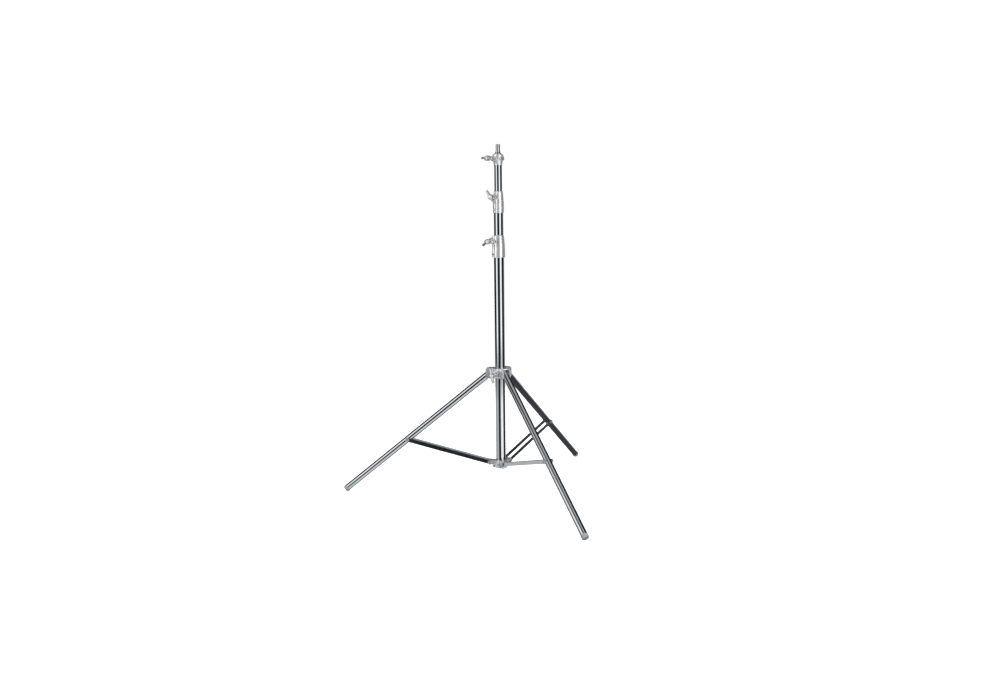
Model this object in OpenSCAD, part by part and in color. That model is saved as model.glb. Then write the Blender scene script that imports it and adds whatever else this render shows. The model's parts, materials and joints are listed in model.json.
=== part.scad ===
// Chrome-plated steel lighting stand: a column with two telescoping risers,
// clamped by T-handle screws, on three braced folding legs.
// Origin on the column axis at floor level, +Z up, the first leg towards -X.
// All lengths in millimetres, all angles in degrees.

/* [Legs] */
// Length of a leg, from its pivot to the end of its foot
leg_length = 742; // [700:1:760]
// Angle between an open leg and the vertical
leg_spread = 51.1; // [48:0.1:53]
// Diameter of a leg tube
leg_tube_d = 25.4; // [24:0.1:25.6]
// Wall thickness of a leg tube
leg_wall = 1.3; // [1:0.1:2]
// Distance of the leg and brace pivots from the column axis
pivot_r = 42.6; // [42:0.1:46]

/* [Braces] */
// Distance along a leg from its pivot to its brace pivot
brace_joint_at = 416.7; // [400:0.1:430]
// Height of the brace pivots on the column
brace_pivot_z = 122.3; // [120:0.1:130]
// Width of a brace bar
brace_bar_w = 14; // [12:0.5:15]
// Thickness of a brace bar
brace_bar_t = 2.5; // [2:0.1:3]

/* [Column] */
// Diameter of the column tube
column_d = 38.1; // [38:0.1:38.4]
// Wall thickness of the column tube
column_wall = 1.2; // [1.1:0.05:1.25]
// Height of the column's lower end above the floor
column_bottom_z = 100; // [98:1:101]
// Height of the column collar's top face
lower_collar_top_z = 1004.5; // [990:0.5:1006]

/* [Risers] */
// Diameter of the first riser
riser_1_d = 34.9; // [34.7:0.1:34.9]
// Wall thickness of the first riser
riser_1_wall = 1.2; // [1:0.05:1.3]
// Diameter of the second riser
riser_2_d = 28.6; // [28.4:0.1:28.8]
// Wall thickness of the second riser
riser_2_wall = 1.5; // [1.2:0.1:1.6]
// Height of the first riser's collar top face
upper_collar_top_z = 1168.5; // [1167:0.5:1175]
// Height of the head's top face
head_top_z = 1305; // [1303:0.5:1310]

/* [Stud] */
// Diameter of the stud
stud_d = 15.9; // [15.8:0.1:16]
// Height of the stud above the head
stud_height = 36; // [30:1:50]

/* [T-handles] */
// Length of a T-handle's bar
handle_span = 59; // [50:1:64]
// Diameter of the clamp screws
lock_screw_d = 9.8; // [8:0.1:10]

/* [Hidden] */

$fn = 64;
hull_fn = 32;
eps = 0.01;
cut_over = 60;                  // length that reaches past whatever a cutter cuts

// Clearances
running = 0.05;                 // radial, a shaft that turns or slides in its hole
side_gap = 0.4;                 // between the faces of pieces that move past each other
thread_gap = 0.1;               // radial, a screw in its tapped hole

// Legs and braces
leg_azimuths = [180, 300, 60];
leg_r = leg_tube_d / 2;
leg_bore_r = leg_r - leg_wall;
foot_r = leg_r + 0.7;
foot_fillet = 4;
foot_head = 14;                 // length of the foot that shows past the tube
foot_insert = 38;
floor_cut = 0.9;                // depth of the flat that rests on the floor
leg_pivot_z = (leg_length - foot_fillet) * cos(leg_spread)
    + (foot_r - foot_fillet) * sin(leg_spread) + foot_fillet - floor_cut;
leg_top = 8;                    // length of the tube above its pivot
plug_dome = 3;
plug_depth = 26;
pin_r = 4;
sleeve_r = 5;

brace_dr = brace_joint_at * sin(leg_spread);
brace_dz = leg_pivot_z - brace_joint_at * cos(leg_spread) - brace_pivot_z;
brace_length = norm([brace_dr, brace_dz]);
brace_angle = atan2(brace_dr, brace_dz);
brace_inner = foot_r + side_gap;            // from the brace's middle to a bar
brace_outer = brace_inner + brace_bar_t;
brace_washer_r = 8;

// Column and risers
column_r = column_d / 2;
column_bore_r = column_r - column_wall;
riser_1_r = riser_1_d / 2;
riser_1_bore_r = riser_1_r - riser_1_wall;
riser_2_r = riser_2_d / 2;
riser_2_bore_r = riser_2_r - riser_2_wall;
plug_flange = 3.5;
column_tube_top = lower_collar_top_z - 44.5;
riser_1_bottom = 235;
riser_1_top = upper_collar_top_z - 41.5;
riser_2_bottom = 375;
riser_2_top = head_top_z - 9;
bush_skirt = 25;                // length of a guide bush below its riser
bush_journal = 30;              // length of a guide bush inside its riser
bush_wall = 3.5;

// Spiders
spider_r = 24.5;
brace_ring_z = [column_bottom_z, column_bottom_z + 31];
brace_lug_r = 8.5;
leg_ring_z = [leg_pivot_z - 17, leg_pivot_z + 19];
clevis_inner = leg_r + side_gap;
clevis_wall = 3.2;
clevis_outer = clevis_inner + clevis_wall;
clevis_reach = 56;              // from the axis to the end of a clevis
clevis_z = [leg_pivot_z - 17, leg_pivot_z + 23];
clevis_corner = 12;
clevis_roof = 4.6;

// Collars: foot radius, top radius, height, depth of the tube seat from the top
lower_collar_h = 84.5;
upper_collar_h = 81.5;
lower_collar_r = [23.6, 19.4];
upper_collar_r = [20.5, 17];
lower_rib = [31.5, 28.5];       // reach of the clamp rib, at its foot and its top
upper_rib = [28, 25];
rib_w = 17;
collar_screw_up = 12.5;         // height of the collar screws above the collar's foot
collar_screw_r = 2.9;
collar_screw_head_r = 4.6;
spot_face = 3;

// Head and stud
head_h = 41;
head_r = 20;
head_neck_r = 16;
head_boss_azimuth = 315;
head_boss_r = 9.5;
head_boss_reach = 25;
stud_flange_r = 11;
stud_cone = 14;
spigot_length = 50;
spigot_r = riser_2_bore_r - running;

// Clamp screws: [azimuth, height, radius clamped, reach of the boss, turn of the bar]
lower_lock = [225, lower_collar_top_z - 23.5, riser_1_r, 32, 28.8];
upper_lock = [241, upper_collar_top_z - 22.5, riser_2_r, 28.7, -54.9];
head_lock = [226, head_top_z - 17, spigot_r, 29, -3.8];
leg_lock = [243, leg_pivot_z + 0.8, column_r, 38, -77.4];
shoe_depth = 4.5;
shoe_w = 12;
shoe_h = 16;
shoe_travel = 1.9;
tip_r = 3;
tip_length = 2.5;
lock_boss_r = 10;
lock_screw_r = lock_screw_d / 2;
handle_gap = 2;                 // between a boss and its T-handle
handle_mid = 26;                // from a boss to the middle of its bar
handle_bore = 16;
wing_r = 4.6;
wing_tip_r = 4.2;

steel = "silver";
casting = "gainsboro";
polymer = "dimgray";

// ---- shared shapes ----

// Local +Z points away from the column axis, local +Y along the tangent
module radial(azimuth, z) {
    translate([0, 0, z]) rotate([0, 0, azimuth]) rotate([0, 90, 0]) children();
}

// Local X is the radius, Y the height and Z the tangent, as an upright plate
module upright(azimuth) {
    rotate([0, 0, azimuth]) rotate([90, 0, 0]) children();
}

module tube(outer_r, inner_r, z0, z1) {
    translate([0, 0, z0]) difference() {
        cylinder(h = z1 - z0, r = outer_r);
        translate([0, 0, -eps]) cylinder(h = z1 - z0 + 2 * eps, r = inner_r);
    }
}

// A cylinder along the tangent, centred on the plane of a leg
module cross_pin(r, half_length) {
    rotate([90, 0, 0]) cylinder(h = 2 * half_length, r = r, center = true);
}

// Local +Z runs down the leg from its pivot
module along_leg(n) {
    rotate([0, 0, leg_azimuths[n]]) translate([pivot_r, 0, leg_pivot_z])
        rotate([0, 180 - leg_spread, 0]) children();
}

// Local +Z runs up the brace from its pivot on the column
module along_brace(n) {
    rotate([0, 0, leg_azimuths[n]]) translate([pivot_r, 0, brace_pivot_z])
        rotate([0, brace_angle, 0]) children();
}

// A hexagon-headed flange bolt through two plates, its head on the -Y side
module flange_bolt(half_width) {
    seat = half_width + side_gap;
    rotate([90, 0, 0]) {
        translate([0, 0, -seat - 9]) cylinder(h = 2 * seat + 9, r = pin_r);
        translate([0, 0, seat]) flange_hexagon(5);
    }
}

module flange_nut(half_width) {
    seat = half_width + side_gap;
    rotate([-90, 0, 0]) translate([0, 0, seat]) difference() {
        flange_hexagon(6.5);
        translate([0, 0, -eps]) cylinder(h = 10, r = pin_r + running);
    }
}

module flange_hexagon(height) {
    cylinder(h = 1.6, r = 8.4);
    cylinder(h = height, r = 7, $fn = 6);
}

// ---- column ----

module column_tube() {
    color(steel) difference() {
        tube(column_r, column_bore_r, column_bottom_z + plug_flange, column_tube_top);
        for (a = leg_azimuths) radial(a + 60, brace_ring_z[0] + 15)
            cylinder(h = cut_over, r = 2.5);
    }
}

module column_end_plug() {
    color(polymer) difference() {
        union() {
            translate([0, 0, column_bottom_z]) cylinder(h = plug_flange, r = column_r);
            translate([0, 0, column_bottom_z]) cylinder(h = 18, r = column_bore_r);
        }
        translate([0, 0, column_bottom_z + plug_flange]) cylinder(h = 20, r = 13);
    }
}

module brace_spider() {
    color(casting) difference() {
        union() {
            translate([0, 0, brace_ring_z[0]])
                cylinder(h = brace_ring_z[1] - brace_ring_z[0], r = spider_r - 0.5);
            for (a = leg_azimuths) upright(a)
                linear_extrude(2 * (brace_inner - side_gap), center = true) brace_lug_outline();
        }
        translate([0, 0, brace_ring_z[0] - eps]) cylinder(h = cut_over, r = column_r + eps);
        for (a = leg_azimuths) {
            upright(a) translate([pivot_r, brace_pivot_z, 0])
                cylinder(h = cut_over, r = pin_r, center = true);
            radial(a + 60, brace_ring_z[0] + 15) cylinder(h = cut_over, r = 2.5);
        }
    }
}

module brace_lug_outline() {
    inner = column_r + 2;
    lug_low = brace_pivot_z - brace_lug_r;
    translate([inner, lug_low]) square([pivot_r - inner, 2 * brace_lug_r]);
    translate([pivot_r, brace_pivot_z]) circle(brace_lug_r);
    polygon([[inner, brace_ring_z[0]], [spider_r + 4, brace_ring_z[0]],
             [pivot_r - 5, lug_low + 0.5], [inner, brace_pivot_z]]);
}

module brace_spider_rivets() {
    color(steel) for (a = leg_azimuths) radial(a + 60, brace_ring_z[0] + 15) {
        translate([0, 0, column_bore_r]) cylinder(h = spider_r - column_bore_r, r = 2.5);
        translate([0, 0, spider_r - 0.5]) intersection() {
            translate([0, 0, -3]) sphere(r = 5.8);
            cylinder(h = 4, r = 5);
        }
    }
}

module brace_pivot_bolts() {
    color(steel) for (a = leg_azimuths)
        rotate([0, 0, a]) translate([pivot_r, 0, brace_pivot_z]) flange_bolt(brace_outer);
}

module brace_pivot_nuts() {
    color(steel) for (a = leg_azimuths)
        rotate([0, 0, a]) translate([pivot_r, 0, brace_pivot_z]) flange_nut(brace_outer);
}

// ---- collars ----

// A cast collar on top of one tube, with a sliding bore for the next one
module collar(lock, top_z, h, r, rib, tube_r, tube_top) {
    bottom = top_z - h;
    color(casting) difference() {
        union() {
            translate([0, 0, bottom]) rotate_extrude() collar_profile(h, r);
            rotate([0, 0, lock[0]]) collar_rib(bottom, h, rib);
            radial(lock[0], lock[1]) cylinder(h = lock[3], r = lock_boss_r);
        }
        translate([0, 0, bottom - eps]) cylinder(h = tube_top - bottom, r = tube_r + eps);
        translate([0, 0, bottom - eps]) cylinder(h = h + 2 * eps, r = lock[2] + running);
        lock_cutters(lock);
        for (side = [0, 180]) collar_screw_hole(lock[0] + side, bottom + collar_screw_up, side, rib);
    }
}

module collar_profile(h, r) {
    top_round = 2.5;
    polygon([[0, 0], [r[0] - 0.8, 0], [r[0], 0.8], [r[0], h * 0.35],
             [r[1] + (r[0] - r[1]) * 0.45, h * 0.75],
             [r[1], h - top_round], [r[1] - top_round * 0.3, h - top_round * 0.3],
             [r[1] - top_round * 0.8, h], [0, h]]);
}

module collar_rib(bottom, h, rib) {
    slab = 1;
    lower = rib[0] - rib_w / 2;
    upper = rib[1] - rib_w / 2;
    hull() {
        translate([lower, 0, bottom + 0.8]) cylinder(h = slab, r = rib_w / 2, $fn = hull_fn);
        translate([upper, 0, bottom + h - slab - 1]) cylinder(h = slab, r = rib_w / 2, $fn = hull_fn);
        translate([0, 0, bottom + 0.8]) cylinder(h = slab, r = rib_w / 2, $fn = hull_fn);
        translate([0, 0, bottom + h - slab - 1]) cylinder(h = slab, r = rib_w / 2, $fn = hull_fn);
    }
}

// Hole for a collar screw, with a spot face for its head where it enters the rib
module collar_screw_hole(azimuth, z, side, rib) {
    radial(azimuth, z) {
        cylinder(h = cut_over, r = collar_screw_r);
        if (side == 0) translate([0, 0, rib[0] - spot_face])
            cylinder(h = cut_over, r = collar_screw_head_r + side_gap);
    }
}

module collar_screws(lock, bottom, tube_r, rib, r) {
    color(steel) for (side = [0, 180]) radial(lock[0] + side, bottom + collar_screw_up) {
        seat = side == 0 ? rib[0] - spot_face : r[0];
        translate([0, 0, tube_r + eps]) cylinder(h = seat - tube_r, r = collar_screw_r - eps);
        translate([0, 0, seat]) difference() {
            cylinder(h = 3.6, r = collar_screw_head_r);
            translate([0, 0, 1.4]) cylinder(h = 3, r = 2.6, $fn = 6);
        }
    }
}

module lower_collar() {
    collar(lower_lock, lower_collar_top_z, lower_collar_h, lower_collar_r, lower_rib,
           column_r, column_tube_top);
}

module lower_collar_screws() {
    collar_screws(lower_lock, lower_collar_top_z - lower_collar_h, column_r, lower_rib,
                  lower_collar_r);
}

module upper_collar() {
    collar(upper_lock, upper_collar_top_z, upper_collar_h, upper_collar_r, upper_rib,
           riser_1_r, riser_1_top);
}

module upper_collar_screws() {
    collar_screws(upper_lock, upper_collar_top_z - upper_collar_h, riser_1_r, upper_rib,
                  upper_collar_r);
}

// ---- leg spider ----

module leg_spider() {
    color(casting) difference() {
        union() {
            translate([0, 0, leg_ring_z[0]]) cylinder(h = leg_ring_z[1] - leg_ring_z[0], r = spider_r);
            for (a = leg_azimuths) upright(a) clevis();
            radial(leg_lock[0], leg_lock[1]) cylinder(h = leg_lock[3], r = lock_boss_r);
        }
        translate([0, 0, leg_ring_z[0] - eps]) cylinder(h = cut_over, r = column_r + running);
        for (a = leg_azimuths) upright(a) translate([pivot_r, leg_pivot_z, 0])
            cylinder(h = cut_over, r = pin_r, center = true);
        lock_cutters(leg_lock);
    }
}

// Two plates under a roof, open below for the leg
module clevis() {
    for (side = [-1, 1]) translate([0, 0, side * (clevis_inner + clevis_wall / 2)])
        linear_extrude(clevis_wall, center = true) clevis_outline();
    linear_extrude(2 * clevis_inner + eps, center = true)
        translate([column_r + 1, clevis_z[1] - clevis_roof])
        square([clevis_reach - clevis_corner - column_r - 1, clevis_roof]);
}

module clevis_outline() {
    inner = column_r + 1;
    height = clevis_z[1] - clevis_z[0];
    translate([inner, clevis_z[0]]) square([clevis_reach - clevis_corner - inner, height]);
    translate([inner, clevis_z[0] + clevis_corner])
        square([clevis_reach - inner, height - 2 * clevis_corner]);
    for (z = [clevis_z[0] + clevis_corner, clevis_z[1] - clevis_corner])
        translate([clevis_reach - clevis_corner, z]) circle(clevis_corner);
}

module leg_pivot_bolts() {
    color(steel) for (a = leg_azimuths)
        rotate([0, 0, a]) translate([pivot_r, 0, leg_pivot_z]) flange_bolt(clevis_outer - side_gap);
}

module leg_pivot_nuts() {
    color(steel) for (a = leg_azimuths)
        rotate([0, 0, a]) translate([pivot_r, 0, leg_pivot_z]) flange_nut(clevis_outer - side_gap);
}

// ---- legs ----

module leg_tube(n) {
    color(steel) along_leg(n) difference() {
        tube(leg_r, leg_bore_r, -leg_top, leg_length - foot_head);
        cross_pin(pin_r + running, cut_over);
        translate([0, 0, brace_joint_at]) cross_pin(sleeve_r, cut_over);
    }
}

// Bearing plug in the leg's upper end, with a domed cap
module leg_plug(n) {
    color(casting) along_leg(n) difference() {
        union() {
            translate([0, 0, -leg_top]) cylinder(h = plug_depth + leg_top, r = leg_bore_r);
            translate([0, 0, -leg_top]) rotate([180, 0, 0]) rotate_extrude()
                polygon([[0, 0], [leg_r - 0.3, 0], [leg_r - 0.6, plug_dome * 0.6],
                         [leg_r - 2.6, plug_dome], [0, plug_dome]]);
        }
        cross_pin(pin_r + running, cut_over);
    }
}

// Spacer that the brace pivot passes through
module leg_sleeve(n) {
    color(steel) along_leg(n) translate([0, 0, brace_joint_at]) difference() {
        cross_pin(sleeve_r, leg_r - 0.1);
        cross_pin(sleeve_r - 1.2, cut_over);
    }
}

// Moulded foot, with a flat where it meets the floor
module leg_foot(n) {
    color(polymer) difference() {
        along_leg(n) translate([0, 0, leg_length - foot_head]) {
            translate([0, 0, -foot_insert]) cylinder(h = foot_insert + 1, r = leg_bore_r);
            rotate_extrude() foot_outline();
        }
        translate([0, 0, -cut_over / 2])
            cube([2.5 * leg_length, 2.5 * leg_length, cut_over], center = true);
    }
}

module foot_outline() {
    square([foot_r - foot_fillet, foot_head]);
    square([foot_r, foot_head - foot_fillet]);
    translate([foot_r - foot_fillet, foot_head - foot_fillet]) circle(foot_fillet);
}

// ---- braces ----

module brace_bar(n, side) {
    color(steel) along_brace(n)
        translate([0, side * (brace_inner + brace_bar_t / 2), 0])
        rotate([90, 0, 0]) rotate([0, 0, 90]) linear_extrude(brace_bar_t, center = true)
        difference() {
            union() {
                translate([0, -brace_bar_w / 2]) square([brace_length, brace_bar_w]);
                for (x = [0, brace_length]) translate([x, 0]) circle(brace_bar_w / 2);
            }
            circle(pin_r + running);
            translate([brace_length, 0]) circle(pin_r);
        }
}

// The two ends of the brace pivot, each with its head and its spacing washer
module brace_rivets(n) {
    start = leg_r + side_gap;
    color(steel) along_brace(n) translate([0, 0, brace_length])
        for (side = [-90, 90]) rotate([side, 0, 0]) {
            translate([0, 0, start]) cylinder(h = brace_inner - start, r = brace_washer_r);
            translate([0, 0, start]) cylinder(h = brace_outer + 1 - start, r = pin_r - eps);
            translate([0, 0, brace_outer]) cylinder(h = 1.2, r = 7.6);
            translate([0, 0, brace_outer]) cylinder(h = 5, r = 6.2, $fn = 6);
        }
}

// ---- risers ----

// A guide bush that slides in the outer tube and carries the riser on its journal
module guide_bush(outer_r, journal_r, z) {
    color(polymer) difference() {
        union() {
            translate([0, 0, z - bush_skirt - 0.3]) cylinder(h = bush_skirt, r = outer_r);
            translate([0, 0, z - bush_skirt - 0.3]) cylinder(h = bush_skirt + bush_journal, r = journal_r);
        }
        translate([0, 0, z - bush_skirt - 1]) cylinder(h = cut_over, r = journal_r - bush_wall);
    }
}

module riser_1_bush() {
    guide_bush(column_bore_r - running, riser_1_bore_r - running, riser_1_bottom);
}

module riser_1_tube() {
    color(steel) tube(riser_1_r, riser_1_bore_r, riser_1_bottom, riser_1_top);
}

module riser_2_bush() {
    guide_bush(riser_1_bore_r - running, riser_2_bore_r - running, riser_2_bottom);
}

module riser_2_tube() {
    color(steel) difference() {
        tube(riser_2_r, riser_2_bore_r, riser_2_bottom, riser_2_top);
        shoe_window(head_lock);
        radial(head_boss_azimuth, head_lock[1]) cylinder(h = cut_over, r = 3);
    }
}

// ---- head ----

module head_receiver() {
    bottom = head_top_z - head_h;
    color(casting) difference() {
        union() {
            translate([0, 0, bottom]) rotate_extrude() head_profile();
            radial(head_lock[0], head_lock[1]) cylinder(h = head_lock[3], r = lock_boss_r);
            radial(head_boss_azimuth, head_lock[1]) cylinder(h = head_boss_reach, r = head_boss_r);
        }
        translate([0, 0, bottom - eps]) cylinder(h = riser_2_top - bottom, r = riser_2_r + eps);
        translate([0, 0, bottom]) cylinder(h = cut_over, r = riser_2_bore_r);
        lock_cutters(head_lock);
        radial(head_boss_azimuth, head_lock[1]) {
            cylinder(h = cut_over, r = 3);
            translate([0, 0, head_boss_reach - 2.5]) cylinder(h = cut_over, r = 6.5);
        }
    }
}

module head_profile() {
    polygon([[0, 0], [head_neck_r - 0.6, 0], [head_neck_r, 0.6], [head_neck_r, 5],
             [head_r - 1, 19], [head_r, 23], [head_r, head_h - 4],
             [head_r - 1.2, head_h - 1.2], [head_r - 4, head_h], [0, head_h]]);
}

module head_screw() {
    color(steel) radial(head_boss_azimuth, head_lock[1]) {
        translate([0, 0, riser_2_bore_r + 0.3])
            cylinder(h = head_boss_reach - 2.5 - riser_2_bore_r - 0.3, r = 3 - eps);
        translate([0, 0, head_boss_reach - 2.5]) difference() {
            cylinder(h = 3.2, r = 5.4);
            translate([0, 0, 1.2]) cylinder(h = 3, r = 2.9, $fn = 6);
        }
    }
}

module stud() {
    base = head_top_z + 0.3;
    top = head_top_z + stud_height;
    chamfer = 1;
    color(steel) translate([0, 0, base]) rotate_extrude() polygon([
        [0, -spigot_length], [spigot_r - chamfer, -spigot_length],
        [spigot_r, chamfer - spigot_length], [spigot_r, 0], [spigot_r + 0.8, 0],
        [spigot_r + 0.8, 1.6], [stud_flange_r, 2.2], [stud_d / 2, stud_cone],
        [stud_d / 2, top - base - chamfer], [stud_d / 2 - chamfer, top - base], [0, top - base]]);
}

// ---- clamp screws ----

// Room for the shoe and its travel, and the tapped hole behind it
module lock_cutters(lock) {
    pocket = lock[2] + running + shoe_depth + shoe_travel + side_gap;
    radial(lock[0], lock[1]) {
        translate([0, 0, pocket / 2]) cube(
            [shoe_h + 2 * side_gap, shoe_w + 2 * side_gap, pocket], center = true);
        cylinder(h = cut_over, r = lock_screw_r + thread_gap);
    }
}

module shoe_window(lock) {
    radial(lock[0], lock[1]) translate([0, 0, cut_over / 2]) cube(
        [shoe_h + 2 * side_gap, shoe_w + 2 * side_gap, cut_over], center = true);
}

module lock_shoe(lock) {
    face = lock[2] + running;
    color(polymer) difference() {
        radial(lock[0], lock[1]) translate([0, 0, face / 2 + shoe_depth / 2])
            cube([shoe_h, shoe_w, face + shoe_depth], center = true);
        translate([0, 0, lock[1] - cut_over / 2]) cylinder(h = cut_over, r = face);
        radial(lock[0], lock[1]) translate([0, 0, face + shoe_depth - tip_length])
            cylinder(h = cut_over, r = tip_r + running);
    }
}

module lock_screw(lock) {
    back = lock[2] + running + shoe_depth;
    shoulder = back + 0.3;
    end = lock[3] + handle_gap + handle_bore - 1;
    color(steel) radial(lock[0], lock[1]) {
        translate([0, 0, back - tip_length + 0.3]) cylinder(h = tip_length + 1, r = tip_r);
        translate([0, 0, shoulder]) cylinder(h = end - shoulder, r = lock_screw_r);
    }
}

// Cast T-handle: a barrel-shaped hub and two flat wings
module lock_handle(lock) {
    wing_at = handle_span / 2 - wing_tip_r;
    color(casting) radial(lock[0], lock[1]) translate([0, 0, lock[3]]) rotate([0, 0, lock[4]])
        difference() {
            union() {
                translate([0, 0, handle_gap]) rotate_extrude() handle_hub();
                for (side = [-1, 1]) hull() {
                    translate([0, side * 3, handle_mid - 7.5])
                        cylinder(h = 15, r = wing_r, $fn = hull_fn);
                    translate([0, side * wing_at, handle_mid - 4.5])
                        cylinder(h = 9, r = wing_tip_r, $fn = hull_fn);
                }
            }
            translate([0, 0, -eps]) cylinder(h = handle_gap + handle_bore, r = lock_screw_r + eps);
        }
}

module handle_hub() {
    top = handle_mid + 10 - handle_gap;
    polygon([[0, 0], [8.8, 0], [8.8, 2], [7.2, 4.5], [7.2, 7], [9.4, 13], [10.2, 19], [10, 25],
             [8.8, top - 4], [6.4, top - 1], [3.5, top], [0, top]]);
}

// ---- nodes ----

column_tube();
column_end_plug();
brace_spider();
brace_spider_rivets();
brace_pivot_bolts();
brace_pivot_nuts();
lower_collar();
lower_collar_screws();
leg_spider();
leg_pivot_bolts();
leg_pivot_nuts();
leg_tube(0);  // leg_1_tube
leg_plug(0);  // leg_1_plug
leg_sleeve(0);  // leg_1_sleeve
leg_foot(0);  // leg_1_foot
leg_tube(1);  // leg_2_tube
leg_plug(1);  // leg_2_plug
leg_sleeve(1);  // leg_2_sleeve
leg_foot(1);  // leg_2_foot
leg_tube(2);  // leg_3_tube
leg_plug(2);  // leg_3_plug
leg_sleeve(2);  // leg_3_sleeve
leg_foot(2);  // leg_3_foot
brace_bar(0, 1);  // brace_1_bar_left
brace_bar(0, -1);  // brace_1_bar_right
brace_rivets(0);  // brace_1_rivets
brace_bar(1, 1);  // brace_2_bar_left
brace_bar(1, -1);  // brace_2_bar_right
brace_rivets(1);  // brace_2_rivets
brace_bar(2, 1);  // brace_3_bar_left
brace_bar(2, -1);  // brace_3_bar_right
brace_rivets(2);  // brace_3_rivets
riser_1_bush();
riser_1_tube();
upper_collar();
upper_collar_screws();
riser_2_bush();
riser_2_tube();
head_receiver();
head_screw();
stud();
lock_shoe(lower_lock);  // lower_lock_shoe
lock_screw(lower_lock);  // lower_lock_screw
lock_handle(lower_lock);  // lower_lock_handle
lock_shoe(upper_lock);  // upper_lock_shoe
lock_screw(upper_lock);  // upper_lock_screw
lock_handle(upper_lock);  // upper_lock_handle
lock_shoe(head_lock);  // head_lock_shoe
lock_screw(head_lock);  // head_lock_screw
lock_handle(head_lock);  // head_lock_handle
lock_shoe(leg_lock);  // leg_lock_shoe
lock_screw(leg_lock);  // leg_lock_screw
lock_handle(leg_lock);  // leg_lock_handle
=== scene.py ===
"""Looks of a chrome steel lighting stand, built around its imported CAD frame."""

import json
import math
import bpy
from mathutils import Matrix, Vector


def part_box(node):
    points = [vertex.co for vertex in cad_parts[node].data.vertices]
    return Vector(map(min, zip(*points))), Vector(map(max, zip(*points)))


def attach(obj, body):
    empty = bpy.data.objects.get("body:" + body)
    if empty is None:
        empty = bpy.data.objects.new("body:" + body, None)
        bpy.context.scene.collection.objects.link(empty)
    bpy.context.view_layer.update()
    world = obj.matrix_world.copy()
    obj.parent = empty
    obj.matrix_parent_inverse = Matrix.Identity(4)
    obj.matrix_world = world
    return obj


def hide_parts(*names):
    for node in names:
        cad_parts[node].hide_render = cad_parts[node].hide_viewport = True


bl_info = {
    "name": "Lighting stand looks",
    "version": (1, 0, 0),
    "blender": (4, 5, 0),
    "location": "3D View > Sidebar > Lighting stand",
    "description": "Models and finishes each piece of a telescoping lighting stand",
    "category": "Object",
}

import bmesh
import bpy
import numpy as np
from mathutils import Matrix, Vector

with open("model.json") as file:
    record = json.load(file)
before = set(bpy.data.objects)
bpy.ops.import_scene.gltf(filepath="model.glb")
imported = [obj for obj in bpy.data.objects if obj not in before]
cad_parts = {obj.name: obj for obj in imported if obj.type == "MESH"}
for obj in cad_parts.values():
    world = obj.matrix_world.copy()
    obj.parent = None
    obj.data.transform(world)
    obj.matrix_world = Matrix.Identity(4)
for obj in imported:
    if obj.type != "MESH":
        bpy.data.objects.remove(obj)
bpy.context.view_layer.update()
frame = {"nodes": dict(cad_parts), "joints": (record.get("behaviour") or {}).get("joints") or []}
JOINTS = {joint["name"]: joint for joint in frame["joints"]}

MM = 0.001
UP = Vector((0, 0, 1))
LEGS = (1, 2, 3)
LOCKS = ("lower", "upper", "head", "leg")
MAST_FOOT = Vector((0, 0, 0))   # where the axis that the mast's tubes share meets the floor
CLEAR = 0.1 * MM           # between a shaft and the bore cut for it
ROOM = 0.4 * MM            # round what moves in a pocket or between two cheeks
PRESSED = 0.02 * MM        # between a tube and the seat that it is pressed into
PLUGGED = 0.05 * MM        # between a tube and the plug inside it
BEYOND = 20 * MM           # how far a cutter runs past the casting that it cuts
BITE = 1 * MM              # how far a rib or boss starts outside the bore it surrounds
LOCK_BOSS_R = 10 * MM
PIVOT_R = 4 * MM           # holes for the pivot bolts
BAR_HALF_WIDTH = 7 * MM
HEXAGON_R = 7 * MM         # corners of the pivot bolts and nuts
HEXAGON_FLANGE_R = 8.4 * MM
SHARP_ANGLE = math.radians(28)   # between faces whose edge is rounded
CAST_ANGLE = 40            # degrees between faces that a casting still shades smoothly


# ---- what the frame says ----

def points_of(node):
    """The vertices of a CAD node, in metres."""
    mesh = frame["nodes"][node].data
    flat = np.empty(len(mesh.vertices) * 3)
    mesh.vertices.foreach_get("co", flat)
    return flat.reshape(-1, 3)


def main_direction(node, towards):
    """Unit vector along a long CAD node, on the side of the vector towards."""
    points = points_of(node)
    _, _, rows = np.linalg.svd(points - points.mean(axis=0), full_matrices=False)
    direction = Vector(rows[0]).normalized()
    return direction if direction.dot(towards) > 0 else -direction


def heights(node):
    """The lowest and highest point of a CAD node."""
    low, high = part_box(node)
    return low[2], high[2]


def span(node, origin, direction):
    """Where a CAD node starts and ends along a direction from an origin."""
    along = (points_of(node) - np.array(origin)) @ np.array(direction)
    return float(along.min()), float(along.max())


def from_line(node, origin, direction):
    """The offsets of a CAD node's vertices from the line through origin."""
    offset = points_of(node) - np.array(origin)
    return offset - np.outer(offset @ np.array(direction), np.array(direction))


def reach(node, origin, direction):
    """How far a CAD node reaches from the line through origin."""
    return float(np.linalg.norm(from_line(node, origin, direction), axis=1).max())


def inner_reach(node, origin, direction):
    """How close a hollow CAD node comes to the line through origin."""
    return float(np.linalg.norm(from_line(node, origin, direction), axis=1).min())


def pivot(joint):
    """A hinge's point and its axis."""
    return Vector(JOINTS[joint]["pos_m"]), Vector(JOINTS[joint]["axis"]).normalized()


def leg_plane(n):
    """Outward and tangent directions of leg n."""
    origin, tangent = pivot(f"leg_{n}_fold")
    outward = Vector((origin.x, origin.y, 0)).normalized()
    return outward, tangent


def bar_direction(lock):
    """Which way the bar of a T-handle points at rest."""
    origin, axis = pivot(f"{lock}_lock_turn")
    flat = from_line(f"{lock}_lock_handle", origin, axis)
    return Vector(flat[np.linalg.norm(flat, axis=1).argmax()]).normalized()


def mast_point(height):
    """The point of the mast's axis at that height."""
    return Vector((0, 0, height))


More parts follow.
